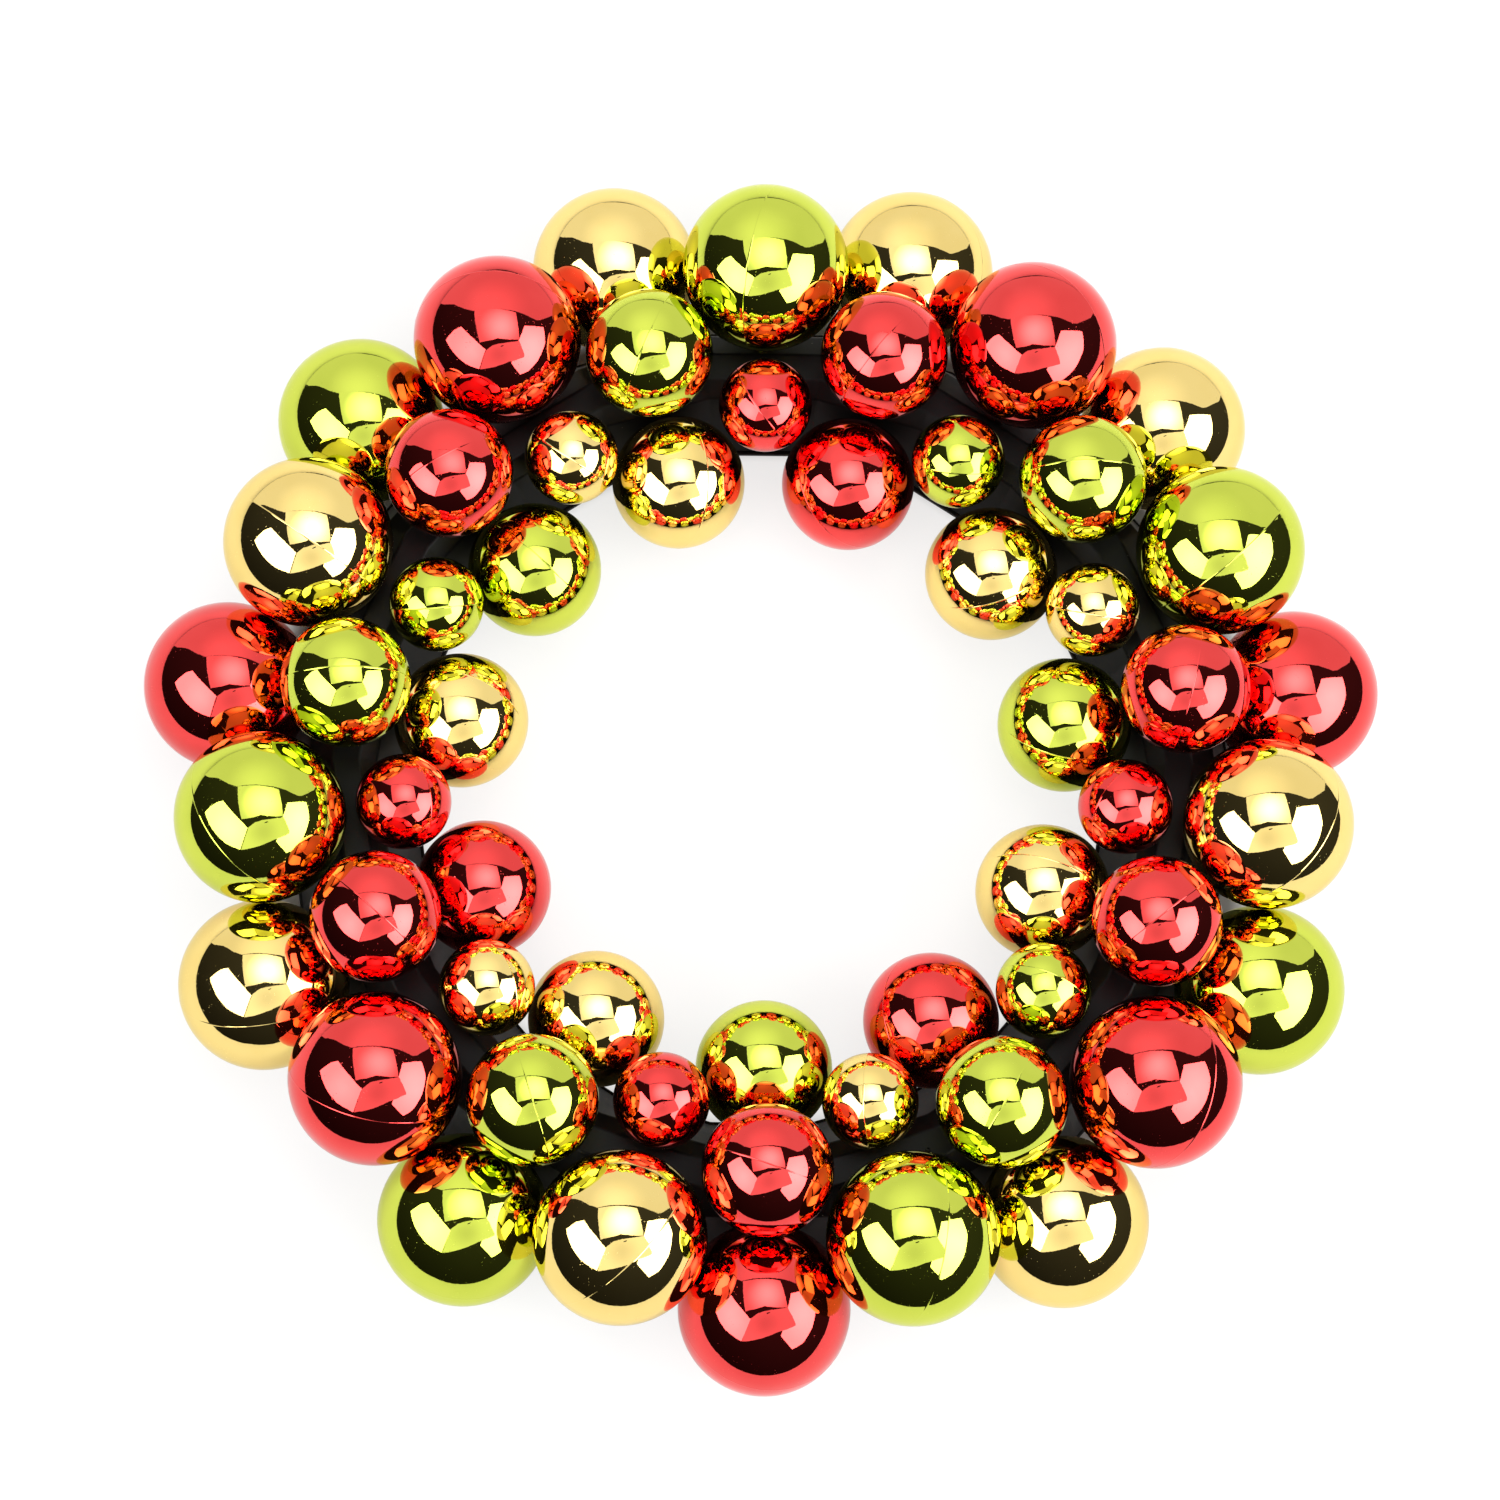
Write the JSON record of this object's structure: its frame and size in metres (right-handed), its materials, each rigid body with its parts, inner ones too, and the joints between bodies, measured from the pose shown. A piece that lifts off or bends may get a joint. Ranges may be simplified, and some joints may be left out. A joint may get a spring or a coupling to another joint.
{
  "type": "bauble wreath",
  "caption": "Round wreath of mirror-finish hollow balls in four sizes, plugged by their necks into a faceted two-part plastic ring frame with a keyhole at the back.",
  "frame": {"origin": "under the middle of the wreath's box, on the plane of the back plate's rear face", "axes": "+Z from the back plate to the crown balls, +Y to the top of the hung wreath (the keyhole's spoke), +X to its right seen from the front"},
  "size_m": [0.3672, 0.3638, 0.073],
  "materials": {
    "ball_red": "vacuum-metallised red, mirror gloss",
    "ball_lime": "vacuum-metallised lime green, mirror gloss",
    "ball_gold": "vacuum-metallised pale gold, mirror gloss",
    "frame_black": "moulded black plastic, semi-gloss"
  },
  "bodies": {
    "root": {"frame_shell": "frame_black", "frame_back_plate": "frame_black", "ball_inner_01": "ball_red", "ball_inner_02": "ball_gold", "ball_inner_03": "ball_lime", "ball_inner_04": "ball_gold", "ball_inner_05": "ball_red", "ball_inner_06": "ball_lime", "ball_inner_07": "ball_gold", "ball_inner_08": "ball_red", "ball_inner_09": "ball_gold", "ball_inner_10": "ball_lime", "ball_inner_11": "ball_gold", "ball_small_01": "ball_red", "ball_small_02": "ball_lime", "ball_small_03": "ball_gold", "ball_small_04": "ball_red", "ball_small_05": "ball_lime", "ball_small_06": "ball_gold", "ball_small_07": "ball_red", "ball_small_08": "ball_gold", "ball_small_09": "ball_red", "ball_small_10": "ball_lime", "ball_small_11": "ball_gold", "ball_crown_01": "ball_red", "ball_crown_02": "ball_lime", "ball_crown_03": "ball_red", "ball_crown_04": "ball_red", "ball_crown_05": "ball_lime", "ball_crown_06": "ball_red", "ball_crown_07": "ball_lime", "ball_crown_08": "ball_red", "ball_crown_09": "ball_lime", "ball_crown_10": "ball_red", "ball_crown_11": "ball_lime", "ball_outer_front_01": "ball_lime", "ball_outer_front_02": "ball_red", "ball_outer_front_03": "ball_lime", "ball_outer_front_04": "ball_gold", "ball_outer_front_05": "ball_red", "ball_outer_front_06": "ball_lime", "ball_outer_front_07": "ball_gold", "ball_outer_front_08": "ball_red", "ball_outer_front_09": "ball_lime", "ball_outer_front_10": "ball_gold", "ball_outer_front_11": "ball_red", "ball_outer_back_01": "ball_gold", "ball_outer_back_02": "ball_gold", "ball_outer_back_03": "ball_red", "ball_outer_back_04": "ball_lime", "ball_outer_back_05": "ball_gold", "ball_outer_back_06": "ball_red", "ball_outer_back_07": "ball_lime", "ball_outer_back_08": "ball_gold", "ball_outer_back_09": "ball_red", "ball_outer_back_10": "ball_lime", "ball_outer_back_11": "ball_gold"}
  },
  "joints": []
}
